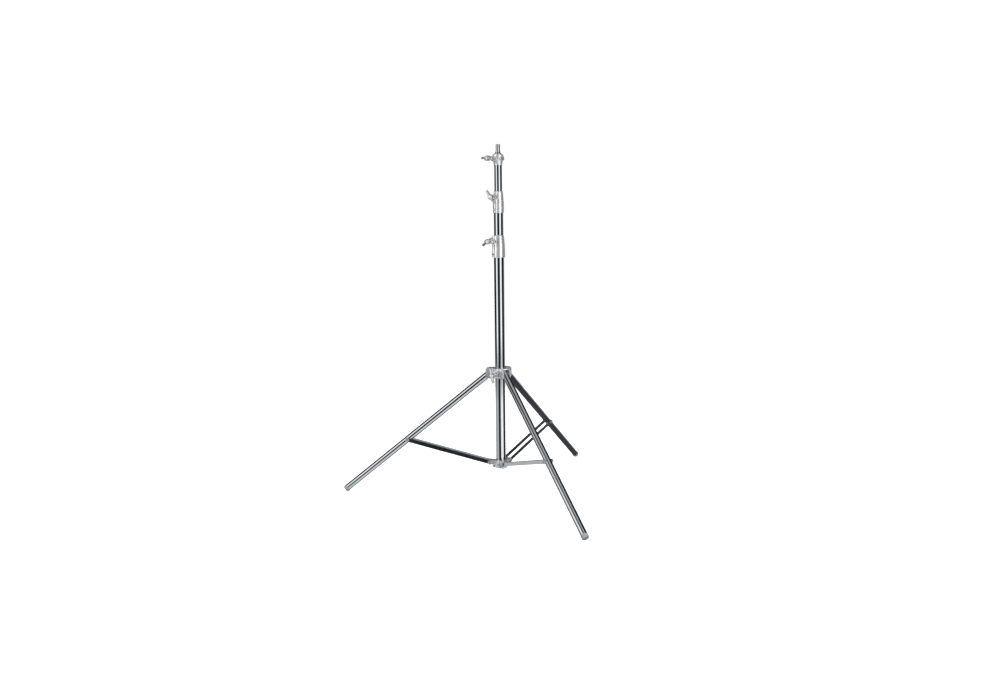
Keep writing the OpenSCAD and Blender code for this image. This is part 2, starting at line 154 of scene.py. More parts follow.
def standing(origin, up, side):
    """Matrix that puts local +Z along up and local +Y along side, at origin."""
    z = up.normalized()
    y = (side - z * side.dot(z)).normalized()
    x = y.cross(z)
    return Matrix.Translation(origin) @ Matrix((x, y, z)).transposed().to_4x4()


# ---- colour ----

def linear(hex_colour):
    """An sRGB hex colour as a linear RGBA tuple."""
    values = [int(hex_colour[i:i + 2], 16) / 255 for i in (1, 3, 5)]
    channels = [v / 12.92 if v <= 0.04045 else ((v + 0.055) / 1.055) ** 2.4 for v in values]
    return tuple(channels) + (1.0,)


# ---- settings ----

def length(name, description, default):
    return bpy.props.FloatProperty(name=name, description=description, default=default, min=0.0,
                                   unit="LENGTH", precision=4)


def colour(name, description, hex_colour):
    return bpy.props.FloatVectorProperty(name=name, description=description, size=4, min=0.0,
                                         max=1.0, subtype="COLOR", default=linear(hex_colour))


class StandSizes(bpy.types.PropertyGroup):
    """Sizes of details that the frame doesn't fix."""
    tube_edge: length("Tube edge", "Rounding of the ends of the tubes", 0.35 * MM)
    bar_edge: length("Bar edge", "Rounding of the edges of the brace bars", 0.45 * MM)
    cast_voxel: length("Casting grain", "Voxel size that the castings are fused at", 0.75 * MM)
    handle_voxel: length("Handle grain", "Voxel size that the T-handles are fused at", 0.5 * MM)
    thread_pitch: length("Thread pitch", "Pitch of the clamp screws", 1.5 * MM)
    bolt_chamfer: length("Bolt chamfer", "Chamfer of the hexagon heads", 0.5 * MM)
    foot_groove: length("Foot groove", "Depth of the grip grooves in the feet", 0.5 * MM)
    hub_waist: length("Hub waist", "Radius of a T-handle's hub at its waist", 7.2 * MM)


class StandColours(bpy.types.PropertyGroup):
    """Base colours of the finishes, and tones of the studio."""
    chrome: colour("Chrome", "Chrome plate on tube and bar", "#C6CACE")
    casting: colour("Casting", "Satin die-cast alloy", "#E4E5E6")
    handle: colour("Handle", "Die-cast alloy of the T-handles", "#DFE0E2")
    zinc: colour("Zinc", "Zinc-plated fasteners", "#BDC1C6")
    nickel: colour("Nickel", "Turned and nickel-plated stud", "#CBCBCC")
    nylon: colour("Nylon", "Black nylon of bushes, shoes and end plug", "#17181A")
    rubber: colour("Rubber", "Moulded rubber of the feet", "#8E9194")
    floor: colour("Floor", "Pale studio floor", "#F4F4F4")
    backdrop: colour("Backdrop", "White around the stand", "#FFFFFF")
    dark_studio: colour("Dark studio", "Unlit part of the studio", "#25282C")


# ---- modelling ----

def deselect():
    if bpy.context.object and bpy.context.object.mode != "OBJECT":
        bpy.ops.object.mode_set(mode="OBJECT")
    bpy.ops.object.select_all(action="DESELECT")


def named(name):
    """Gives the primitive just added its name, with its place in its mesh."""
    piece = bpy.context.object
    piece.name = piece.data.name = name
    bpy.ops.object.transform_apply(location=True, rotation=True, scale=True)
    return piece


def activate(piece):
    deselect()
    piece.select_set(True)
    bpy.context.view_layer.objects.active = piece


def enter_edit(piece):
    activate(piece)
    bpy.ops.object.mode_set(mode="EDIT")


def edit_all(piece):
    """Edit mode with everything selected."""
    enter_edit(piece)
    bpy.ops.mesh.select_all(action="SELECT")


def select_verts(piece, test):
    """Selects just the vertices that pass the test, in edit mode."""
    bpy.ops.mesh.select_mode(type="VERT")
    bpy.ops.mesh.select_all(action="DESELECT")
    bm = bmesh.from_edit_mesh(piece.data)
    for vert in bm.verts:
        vert.select_set(test(vert.co))
    bm.select_flush(True)
    bmesh.update_edit_mesh(piece.data)


def select_faces(piece, test):
    """Selects just the faces that pass the test on their centre and normal, in edit mode."""
    bpy.ops.mesh.select_mode(type="FACE")
    bpy.ops.mesh.select_all(action="DESELECT")
    bm = bmesh.from_edit_mesh(piece.data)
    for face in bm.faces:
        face.select_set(test(face.calc_center_median(), face.normal))
    bmesh.update_edit_mesh(piece.data)


def stretch(piece, distance, test):
    """Moves the vertices that pass the test along local X."""
    enter_edit(piece)
    select_verts(piece, test)
    bpy.ops.transform.translate(value=(distance, 0, 0))
    leave_edit()


def leave_edit(outside=True):
    """Merges doubles, turns the normals outwards and leaves edit mode."""
    bpy.ops.mesh.select_mode(type="VERT")
    bpy.ops.mesh.select_all(action="SELECT")
    bpy.ops.mesh.remove_doubles(threshold=0.002 * MM)
    if outside:
        bpy.ops.mesh.normals_make_consistent(inside=False)
    bpy.ops.object.mode_set(mode="OBJECT")


def cylinder(name, radius, low, high, sides=64, turn=0.0):
    """An upright cylinder on the local axis."""
    deselect()
    bpy.ops.mesh.primitive_cylinder_add(vertices=sides, radius=radius, depth=high - low,
                                        location=(0, 0, (low + high) / 2), rotation=(0, 0, turn))
    return named(name)


def box(name, low, high):
    """A box between two corners."""
    deselect()
    bpy.ops.mesh.primitive_cube_add(size=1, location=(Vector(low) + Vector(high)) / 2)
    bpy.context.object.scale = Vector(high) - Vector(low)
    return named(name)


def lathe(name, outline, steps=96):
    """Spins a closed outline of (radius, height) points about the local axis."""
    deselect()
    radius, height = outline[0]
    bpy.ops.mesh.primitive_plane_add(size=MM, location=(0, 0, 0))
    piece = named(name)
    bpy.ops.object.mode_set(mode="EDIT")
    bpy.ops.mesh.select_all(action="SELECT")
    bpy.ops.mesh.merge(type="CENTER")
    bpy.ops.transform.translate(value=(radius, 0, height))
    for (r0, z0), (r1, z1) in zip(outline, outline[1:] + outline[:1]):
        bpy.ops.mesh.extrude_region_move(TRANSFORM_OT_translate={"value": (r1 - r0, 0, z1 - z0)})
    bpy.ops.mesh.select_all(action="SELECT")
    bpy.ops.mesh.remove_doubles(threshold=0.002 * MM)
    bpy.ops.mesh.spin(steps=steps, angle=2 * math.pi, center=(0, 0, 0), axis=(0, 0, 1))
    leave_edit()
    return piece


def apply_modifier(piece, kind, **settings):
    activate(piece)
    modifier = piece.modifiers.new(kind.lower(), kind)
    for key, value in settings.items():
        setattr(modifier, key, value)
    bpy.ops.object.modifier_apply(modifier=modifier.name)


def soften(piece, width, segments=3):
    """Rounds the sharp edges of a piece."""
    apply_modifier(piece, "BEVEL", width=width, segments=segments, limit_method="ANGLE",
                   angle_limit=SHARP_ANGLE)


def join(parts, name):
    deselect()
    for part in parts:
        part.select_set(True)
    bpy.context.view_layer.objects.active = parts[0]
    if len(parts) > 1:
        bpy.ops.object.join()
    piece = bpy.context.object
    piece.name = piece.data.name = name
    return piece


def fuse(parts, name, voxel, smooth_steps):
    """Melts overlapping solids into one skin with soft inner corners, as in a casting."""
    piece = join(parts, name)
    apply_modifier(piece, "REMESH", mode="VOXEL", voxel_size=voxel)
    apply_modifier(piece, "SMOOTH", factor=0.5, iterations=smooth_steps)
    return piece


def cut(piece, cutters):
    """Takes solids away from a piece."""
    for cutter in cutters:
        apply_modifier(piece, "BOOLEAN", operation="DIFFERENCE", object=cutter, solver="EXACT")
        bpy.data.objects.remove(cutter)
    enter_edit(piece)
    leave_edit(outside=False)
    return piece


def place(piece, matrix):
    """Moves the mesh of a piece, whose object stays at the origin."""
    activate(piece)
    piece.matrix_world = matrix
    bpy.ops.object.transform_apply(location=True, rotation=True, scale=True)
    return piece


def facing(part, height, axis):
    """Turns an upright part out from the mast's axis at that height, along another axis."""
    return place(part, standing(mast_point(height), axis, UP))


def copy_of(piece, name):
    """A copy with its own mesh."""
    twin = piece.copy()
    twin.data = piece.data.copy()
    twin.name = twin.data.name = name
    bpy.context.collection.objects.link(twin)
    return twin


def finish_piece(piece, finish, body, *nodes, slot=None, smooth_angle=32):
    """Shades and paints a piece and hands it to the frame."""
    activate(piece)
    bpy.ops.object.shade_smooth_by_angle(angle=math.radians(smooth_angle))
    # Large faces keep their own normals, so a mirror-bright tube reflects straight to its ends
    apply_modifier(piece, "WEIGHTED_NORMAL", keep_sharp=True)
    piece.data.materials.clear()
    piece.data.materials.append(finish_named(finish))
    slot = slot or finish
    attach(piece, body)
    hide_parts(*nodes)
    return piece


def finish_casting(piece, body, node):
    """Finishes a satin casting, whose soft corners are shaded smoothly."""
    return finish_piece(piece, "cast_alloy", body, node, smooth_angle=CAST_ANGLE)


# ---- materials ----

def add_node(tree, kind, settings=None, links=None):
    """Adds a node; links maps its inputs, by name or number, to other nodes' outputs."""
    node = tree.nodes.new(kind)
    for key, value in (settings or {}).items():
        if key in node.inputs:
            node.inputs[key].default_value = value
        else:
            setattr(node, key, value)
    for key, output in (links or {}).items():
        tree.links.new(output, node.inputs[key])
    return node


def new_material(name):
    """An empty node material with its shader: (material, tree, shader)."""
    material = bpy.data.materials.new(name)
    material.use_nodes = True
    tree = material.node_tree
    return material, tree, tree.nodes["Principled BSDF"]


def ramp(tree, factor, stops):
    """A colour ramp from (position, colour) stops."""
    node = add_node(tree, "ShaderNodeValToRGB", links={"Fac": factor})
    elements = node.color_ramp.elements
    while len(elements) < len(stops):
        elements.new(1.0)
    for element, (position, tone) in zip(elements, stops):
        element.position = position
        element.color = tone
    return node.outputs["Color"]


def grey(value):
    return (value, value, value, 1.0)


def tinted(rgba, factor):
    return tuple(min(1.0, c * factor) for c in rgba[:3]) + (1.0,)


def noise(tree, where, size_mm, detail, roughness):
    """A noise pattern of about that size."""
    settings = {"Scale": 1 / (size_mm * MM), "Detail": detail, "Roughness": roughness}
    return add_node(tree, "ShaderNodeTexNoise", settings, {"Vector": where}).outputs["Fac"]


def bump(tree, shader, height, strength, height_mm):
    """A surface grain of that height."""
    node = add_node(tree, "ShaderNodeBump", {"Strength": strength, "Distance": height_mm * MM},
                    {"Height": height})
    tree.links.new(node.outputs["Normal"], shader.inputs["Normal"])


def metal(name, base, roughness, grain_mm, grain_height_mm, stretch=(1, 1, 1), mottle=0.06,
          mottle_mm=30, roughness_spread=0.3, metallic=1.0):
    """A metal finish: mottled tone, uneven polish and a fine surface grain."""
    material, tree, shader = new_material(name)
    where = add_node(tree, "ShaderNodeTexCoord").outputs["Object"]
    shade = ramp(tree, noise(tree, where, mottle_mm, 4.0, 0.6),
                 [(0.3, tinted(base, 1 - mottle)), (0.7, tinted(base, 1 + mottle / 2))])
    tree.links.new(shade, shader.inputs["Base Color"])
    mapping = add_node(tree, "ShaderNodeMapping", {"Scale": stretch}, {"Vector": where})
    stretched = mapping.outputs["Vector"]
    polish = ramp(tree, noise(tree, stretched, mottle_mm * 0.4, 5.0, 0.65),
                  [(0.3, grey(roughness * (1 - roughness_spread))),
                   (0.75, grey(roughness * (1 + roughness_spread)))])
    tree.links.new(polish, shader.inputs["Roughness"])
    bump(tree, shader, noise(tree, stretched, grain_mm, 3.0, 0.55), 1.0, grain_height_mm)
    shader.inputs["Metallic"].default_value = metallic
    return material


def make_materials(colours):
    """Every finish of the stand, by its plain name."""
    made = {}
    # Bright chrome on drawn tube: a near mirror, with the faint ripple of the tube under the plate
    made["chrome_tube"] = metal("chrome-plated drawn steel tube", colours.chrome, 0.055,
                                grain_mm=6, grain_height_mm=0.012, stretch=(1, 1, 0.25),
                                mottle=0.03)
    # The risers are polished lengthwise by their collars, so their hairlines run up the tube
    made["chrome_riser"] = metal("chrome-plated drawn steel tube, slid bright", colours.chrome,
                                 0.07, grain_mm=0.9, grain_height_mm=0.0008,
                                 stretch=(1, 1, 0.02), mottle=0.03)
    # Chrome on cold-rolled flat bar: a softer mirror than the tube
    made["chrome_bar"] = metal("chrome-plated flat steel bar", colours.chrome, 0.14,
                               grain_mm=2.5, grain_height_mm=0.01, mottle=0.05)
    # Tumbled die-casting: a matt oxide skin scatters half the light, so it looks pale and satin
    made["cast_alloy"] = metal("tumbled die-cast aluminium", colours.casting, 0.25,
                               grain_mm=4, grain_height_mm=0.006, mottle=0.04, mottle_mm=18,
                               metallic=0.75)
    # The handles are rubbed brighter by hands than the collars
    made["cast_handle"] = metal("polished die-cast aluminium", colours.handle, 0.18,
                                grain_mm=4, grain_height_mm=0.006, mottle=0.05, mottle_mm=14,
                                metallic=0.8)
    # Zinc plate on cold-headed steel: slightly milky, its tone mottled at random
    made["plated_fastener"] = metal("zinc-plated steel", colours.zinc, 0.3,
                                    grain_mm=0.8, grain_height_mm=0.006, mottle=0.12, mottle_mm=5,
                                    metallic=0.7)
    # Turned steel under nickel: fine rings round the axis
    made["stud_steel"] = metal("turned and nickel-plated steel", colours.nickel, 0.13,
                               grain_mm=0.7, grain_height_mm=0.006, stretch=(0.04, 0.04, 1.0),
                               mottle=0.04, mottle_mm=12)
    made["black_nylon"] = moulded("moulded black nylon", colours.nylon, 0.42, 0.5, 0.02)
    made["grey_foot"] = moulded("moulded grey rubber", colours.rubber, 0.62, 0.9, 0.05)
    return made


def moulded(name, base, roughness, grain_mm, grain_height_mm):
    """A moulded plastic or rubber: spark-eroded grain, and scuffs that dull and lighten it."""
    material, tree, shader = new_material(name)
    where = add_node(tree, "ShaderNodeTexCoord").outputs["Object"]
    scuffs = noise(tree, where, 9, 6.0, 0.7)
    shade = ramp(tree, scuffs,
                 [(0.35, tinted(base, 0.85)), (0.62, base), (0.8, tinted(base, 1.5))])
    tree.links.new(shade, shader.inputs["Base Color"])
    polish = ramp(tree, scuffs,
                  [(0.3, grey(roughness * 0.85)), (0.75, grey(min(1.0, roughness * 1.2)))])
    tree.links.new(polish, shader.inputs["Roughness"])
    grain = add_node(tree, "ShaderNodeTexVoronoi", {"Scale": 1 / (grain_mm * MM)},
                     {"Vector": where})
    bump(tree, shader, grain.outputs["Distance"], 0.6, grain_height_mm)
    return material


MATERIALS = {}


def finish_named(name):
    """The material of that plain name, made once for the whole stand."""
    if not MATERIALS:
        MATERIALS.update(make_materials(bpy.context.scene.stand_colours))
    return MATERIALS[name]


# ---- pieces ----

def tube_piece(name, node, origin, direction, side, sizes):
    """A round tube with rounded ends, sized from its CAD node."""
    low, high = span(node, origin, direction)
    outer = reach(node, origin, direction)
    inner = inner_reach(node, origin, direction)
    piece = lathe(name, [(inner, low), (outer, low), (outer, high), (inner, high)], steps=128)
    soften(piece, sizes.tube_edge, segments=3)
    return place(piece, standing(origin, direction, side))


def bore(radius, low, high):
    """A smooth round cutter on the mast's axis."""
    return cylinder("bore", radius, low, high, 128)


def hexagon_head(name, across_r, flange_r, low, high, chamfer):
    """A hexagon with a round flange under it, chamfered on top."""
    flange = lathe(f"{name}_flange", [(0, low), (flange_r, low), (flange_r, low + 1.2 * MM),
                                      (across_r * 0.93, low + 2.0 * MM), (0, low + 2.0 * MM)], 48)
    head = cylinder(f"{name}_hexagon", across_r, low + 1.0 * MM, high, sides=6)
    soften(head, chamfer, segments=2)
    return join([flange, head], name)


class StandOperator:
    """What the operators share."""
    bl_options = {"REGISTER", "UNDO"}

    @classmethod
    def poll(cls, context):
        return context.scene is not None


class STAND_OT_mast(StandOperator, bpy.types.Operator):
    """Column and riser tubes"""
    bl_idname = "stand.mast"
    bl_label = "Mast tubes"

    def execute(self, context):
        sizes = context.scene.stand_sizes
        for node, body, finish in (("column_tube", "column", "chrome_tube"),
                                   ("riser_1_tube", "riser_1", "chrome_riser"),
                                   ("riser_2_tube", "riser_2", "chrome_riser")):
            piece = tube_piece(f"{node}_chrome", node, MAST_FOOT, UP, Vector((0, 1, 0)), sizes)
            if node == "riser_2_tube":
                self.open_window(piece)
            finish_piece(piece, finish, body, node, slot="chrome_tube")
        return {"FINISHED"}

    def open_window(self, piece):
        """Cuts the window that the head's shoe passes through."""
        low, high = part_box("head_lock_shoe")
        origin, axis = pivot("head_lock_turn")
        half = 0.5 * (high[2] - low[2]) + ROOM
        window = box("window", (-half, -half * 0.8, 0), (half, half * 0.8, 60 * MM))
        place(window, standing(mast_point(origin.z), axis, axis.cross(UP)))
        cut(piece, [window])


class STAND_OT_legs(StandOperator, bpy.types.Operator):
    """Leg tubes, their top plugs and their feet"""
    bl_idname = "stand.legs"
    bl_label = "Legs and feet"

    def execute(self, context):
        sizes = context.scene.stand_sizes
        for n in LEGS:
            origin, tangent = pivot(f"leg_{n}_fold")
            outward, _ = leg_plane(n)
            down = main_direction(f"leg_{n}_tube", outward - UP)
            tube = tube_piece(f"leg_{n}_tube_chrome", f"leg_{n}_tube", origin, down, tangent, sizes)
            finish_piece(tube, "chrome_tube", f"leg_{n}", f"leg_{n}_tube")
            plug = self.top_plug(n, origin, down, tangent)
            finish_piece(plug, "cast_alloy", f"leg_{n}", f"leg_{n}_plug")
            foot = self.foot(n, origin, down, tangent, sizes)
            finish_piece(foot, "grey_foot", f"leg_{n}", f"leg_{n}_foot")
        return {"FINISHED"}

    def top_plug(self, n, origin, down, tangent):
        """Bearing plug with a domed cap over the tube's upper end."""
        low, high = span(f"leg_{n}_plug", origin, down)
        tube_low, _ = span(f"leg_{n}_tube", origin, down)
        cap_r = reach(f"leg_{n}_plug", origin, down)
        shank_r = inner_reach(f"leg_{n}_tube", origin, down) - PLUGGED
        rim = tube_low - 0.6 * MM
        outline = [(0, high), (shank_r - 0.8 * MM, high), (shank_r, high - 0.8 * MM),
                   (shank_r, tube_low), (cap_r, tube_low), (cap_r, rim),
                   (cap_r * 0.93, low + 0.9 * MM),
                   (cap_r * 0.78, low + 0.25 * MM), (cap_r * 0.5, low), (0, low)]
        piece = lathe(f"leg_{n}_top_plug", outline, 64)
        pin = cylinder("pin", PIVOT_R + PLUGGED, -2 * BEYOND, 2 * BEYOND, 48)
        place(pin, Matrix.Rotation(math.pi / 2, 4, "X"))
        cut(piece, [pin])
        return place(piece, standing(origin, down, tangent))

    def foot(self, n, origin, down, tangent, sizes):
        """Moulded foot with three grip grooves, worn flat where it stands."""
        low, high = span(f"leg_{n}_foot", origin, down)
        _, tube_high = span(f"leg_{n}_tube", origin, down)
        outer = reach(f"leg_{n}_foot", origin, down) - 0.1 * MM
        insert = inner_reach(f"leg_{n}_tube", origin, down) - PLUGGED
        bottom = outer - sizes.foot_groove
        outline = [(0, low), (insert - 1 * MM, low), (insert, low + 1 * MM), (insert, tube_high),
                   (outer - 0.4 * MM, tube_high), (outer, tube_high + 0.4 * MM)]
        for step in range(3):
            start = tube_high + (2.0 + 2.4 * step) * MM
            outline += [(outer, start), (bottom, start + 0.3 * MM),
                        (bottom, start + 1.0 * MM), (outer, start + 1.3 * MM)]
        fillet = 4 * MM
        for step in range(7):
            angle = math.radians(15 * step)
            outline.append((outer - fillet + fillet * math.cos(angle),
                            high - fillet + fillet * math.sin(angle)))
        outline.append((0, high))
        piece = lathe(f"leg_{n}_foot_moulded", outline, 72)
        place(piece, standing(origin, down, tangent))
        edit_all(piece)
        bpy.ops.mesh.bisect(plane_co=(0, 0, 0), plane_no=UP, use_fill=True, clear_inner=True,
                            threshold=1e-7)
        leave_edit()
        return piece


class STAND_OT_braces(StandOperator, bpy.types.Operator):
    """Brace bars and the ends of their pivots on the legs"""
    bl_idname = "stand.braces"
    bl_label = "Braces"

    def execute(self, context):
        sizes = context.scene.stand_sizes
        for n in LEGS:
            origin, axis = pivot(f"brace_{n}_fold")
            tangent = -axis
            outward, _ = leg_plane(n)
            up = main_direction(f"brace_{n}_bar_left", outward)
            for hand in ("left", "right"):
                node = f"brace_{n}_bar_{hand}"
                piece = self.bar(node, origin, up, tangent, sizes)
                finish_piece(piece, "chrome_bar", f"brace_{n}", node)
            ends = self.pivot_ends(n, origin, up, tangent, sizes)
            finish_piece(ends, "plated_fastener", f"brace_{n}", f"brace_{n}_rivets")
        return {"FINISHED"}

    def bar(self, node, origin, up, tangent, sizes):
        """A flat bar with round ends and rounded edges."""
        low, high = span(node, origin, up)
        near, far = span(node, origin, tangent)
        bottom, top = span(node, origin, up.cross(tangent))
        half_width = (top - bottom) / 2
        piece = cylinder(f"{node}_chrome", half_width, near, far, 64)
        stretch(piece, high - low - 2 * half_width, lambda co: co.x > 1e-6)
        soften(piece, sizes.bar_edge, segments=3)
        return place(piece, standing(origin, tangent, tangent.cross(up)))

    def pivot_ends(self, n, origin, up, tangent, sizes):
        """Washer, headed stub and hexagon on each side of the leg."""
        _, high = span(f"brace_{n}_bar_left", origin, up)
        near, far = span(f"brace_{n}_bar_left", origin, tangent)
        joint = origin + up * (high - BAR_HALF_WIDTH)
        inner, outer = min(abs(near), abs(far)), max(abs(near), abs(far))
        _, tip = span(f"brace_{n}_rivets", joint, tangent)
        start = inner_reach_along(f"brace_{n}_rivets", joint, tangent)
        washer_r = 7.9 * MM
        parts = []
        for side in (1, -1):
            washer = lathe("washer", [(0, start), (washer_r, start), (washer_r, inner),
                                      (0, inner)], 48)
            shank = cylinder("shank", PIVOT_R - CLEAR, start, outer + 1 * MM, 32)
            head = hexagon_head("head", 6.2 * MM, 7.6 * MM, outer, tip - PLUGGED,
                                sizes.bolt_chamfer)
            part = join([washer, shank, head], "end")
            place(part, standing(joint, tangent * side, up))
            parts.append(part)
        return join(parts, f"brace_{n}_pivot_ends")


def inner_reach_along(node, origin, direction):
    """How close a node in two halves comes to the plane through origin."""
    along = (points_of(node) - np.array(origin)) @ np.array(direction)
    return float(np.abs(along).min())


class STAND_OT_spiders(StandOperator, bpy.types.Operator):
    """The sliding leg spider and the brace spider at the column's foot"""
    bl_idname = "stand.spiders"
    bl_label = "Spiders"

    def execute(self, context):
        sizes = context.scene.stand_sizes
        leg = self.leg_spider(sizes)
        finish_casting(leg, "leg_spider", "leg_spider")
        brace = self.brace_spider(sizes)
        finish_casting(brace, "column", "brace_spider")
        return {"FINISHED"}

    def leg_spider(self, sizes):
        """Ring, three forked clevises under a roof, and the boss of the clamp screw."""
        column_r = reach("column_tube", MAST_FOOT, UP)
        lock_point, lock_axis = pivot("leg_lock_turn")
        pivot_point, _ = pivot("leg_1_fold")
        low, high = heights("leg_spider")
        tube_r = reach("leg_1_tube", pivot_point, main_direction("leg_1_tube", -UP))
        inner = tube_r + ROOM
        wall = 3.2 * MM
        far = 56 * MM
        rounding = 12 * MM
        parts = [self.ring(column_r - BITE, 24.5 * MM, low, high - 4 * MM)]
        for n in LEGS:
            _, tangent = leg_plane(n)
            for side in (1, -1):
                near_y, far_y = sorted((side * inner, side * (inner + wall)))
                plate = box("plate", (column_r + BITE, near_y, low), (far, far_y, high))
                bpy.ops.object.mode_set(mode="EDIT")
                select_verts(plate, lambda co: co.x > far - 1 * MM)
                bm = bmesh.from_edit_mesh(plate.data)
                for edge in bm.edges:
                    start, end = (vert.co for vert in edge.verts)
                    edge.select_set(min(start.x, end.x) > far - 1 * MM
                                    and abs(start.z - end.z) < 0.1 * MM)
                bmesh.update_edit_mesh(plate.data)
                bpy.ops.mesh.bevel(offset=rounding, segments=12, affect="EDGES")
                bpy.ops.object.mode_set(mode="OBJECT")
                parts.append(place(plate, standing(MAST_FOOT, UP, tangent)))
            roof = box("roof", (column_r + BITE, -inner - BITE, high - 4.6 * MM),
                       (far - rounding, inner + BITE, high))
            parts.append(place(roof, standing(MAST_FOOT, UP, tangent)))
        boss = cylinder("boss", LOCK_BOSS_R, column_r + BITE, lock_point.xy.length)
        parts.append(facing(boss, lock_point.z, lock_axis))
        piece = fuse(parts, "leg_spider_casting", sizes.cast_voxel, 5)
        column_bore = bore(column_r + CLEAR, low - BEYOND, high + BEYOND)
        return cut(piece, [column_bore] + self.pin_cutters("leg") + lock_cutters("leg"))

    def brace_spider(self, sizes):
        """Ring with three gusseted lugs."""
        column_r = reach("column_tube", MAST_FOOT, UP)
        pivot_point, _ = pivot("brace_1_fold")
        low, high = heights("brace_spider")
        bar_gap = min(abs(v) for v in span("brace_1_bar_left", pivot_point, leg_plane(1)[1]))
        half = bar_gap - ROOM
        lug_r = 8.5 * MM
        pivot_r = pivot_point.xy.length
        parts = [self.ring(column_r - BITE, 24 * MM, low, high)]
        for n in LEGS:
            _, tangent = leg_plane(n)
            lug = cylinder("lug", lug_r, -half, half, 64)
            stretch(lug, column_r + lug_r - pivot_r, lambda co: co.x < -1e-6)
            place(lug, Matrix.Translation((pivot_r, 0, pivot_point.z))
                  @ Matrix.Rotation(math.pi / 2, 4, "X"))
            gusset = box("gusset", (column_r + BITE, -half * 0.55, low),
                         (30 * MM, half * 0.55, pivot_point.z))
            stretch(gusset, pivot_r - 36 * MM,
                    lambda co: co.x > 29 * MM and co.z > low + 1 * MM)
            for part in (lug, gusset):
                parts.append(place(part, standing(MAST_FOOT, UP, tangent)))
        piece = fuse(parts, "brace_spider_casting", sizes.cast_voxel, 5)
        column_bore = bore(column_r + PRESSED, low - BEYOND, high + BEYOND)
        return cut(piece, [column_bore] + self.pin_cutters("brace"))

    def ring(self, inner, outer, low, high):
        return lathe("ring", [(inner, low), (outer, low), (outer, high), (inner, high)])

    def pin_cutters(self, kind):
        """One cutter along each leg's or brace's pivot."""
        cutters = []
        for n in LEGS:
            origin, axis = pivot(f"{kind}_{n}_fold")
            pin = cylinder("pin", PIVOT_R, -2 * BEYOND, 2 * BEYOND, 48)
            cutters.append(place(pin, standing(origin, axis, UP)))
        return cutters


def lock_cutters(lock):
    """The tapped hole and the shoe's pocket behind it."""
    origin, axis = pivot(f"{lock}_lock_turn")
    on_axis = mast_point(origin.z)
    screw_r = reach(f"{lock}_lock_screw", origin, axis)
    side = axis.cross(UP)
    _, shoe_high = span(f"{lock}_lock_shoe", on_axis, axis)
    half_w = span(f"{lock}_lock_shoe", on_axis, side)[1] + ROOM
    half_h = span(f"{lock}_lock_shoe", on_axis, UP)[1] + ROOM
    travel = JOINTS[f"{lock}_lock_travel"]["range_m"][1] + ROOM
    hole = cylinder("hole", screw_r + CLEAR, 0, 4 * BEYOND, 64)
    pocket = box("pocket", (-half_h, -half_w, 0), (half_h, half_w, shoe_high + travel))
    return [place(part, standing(on_axis, axis, side)) for part in (hole, pocket)]


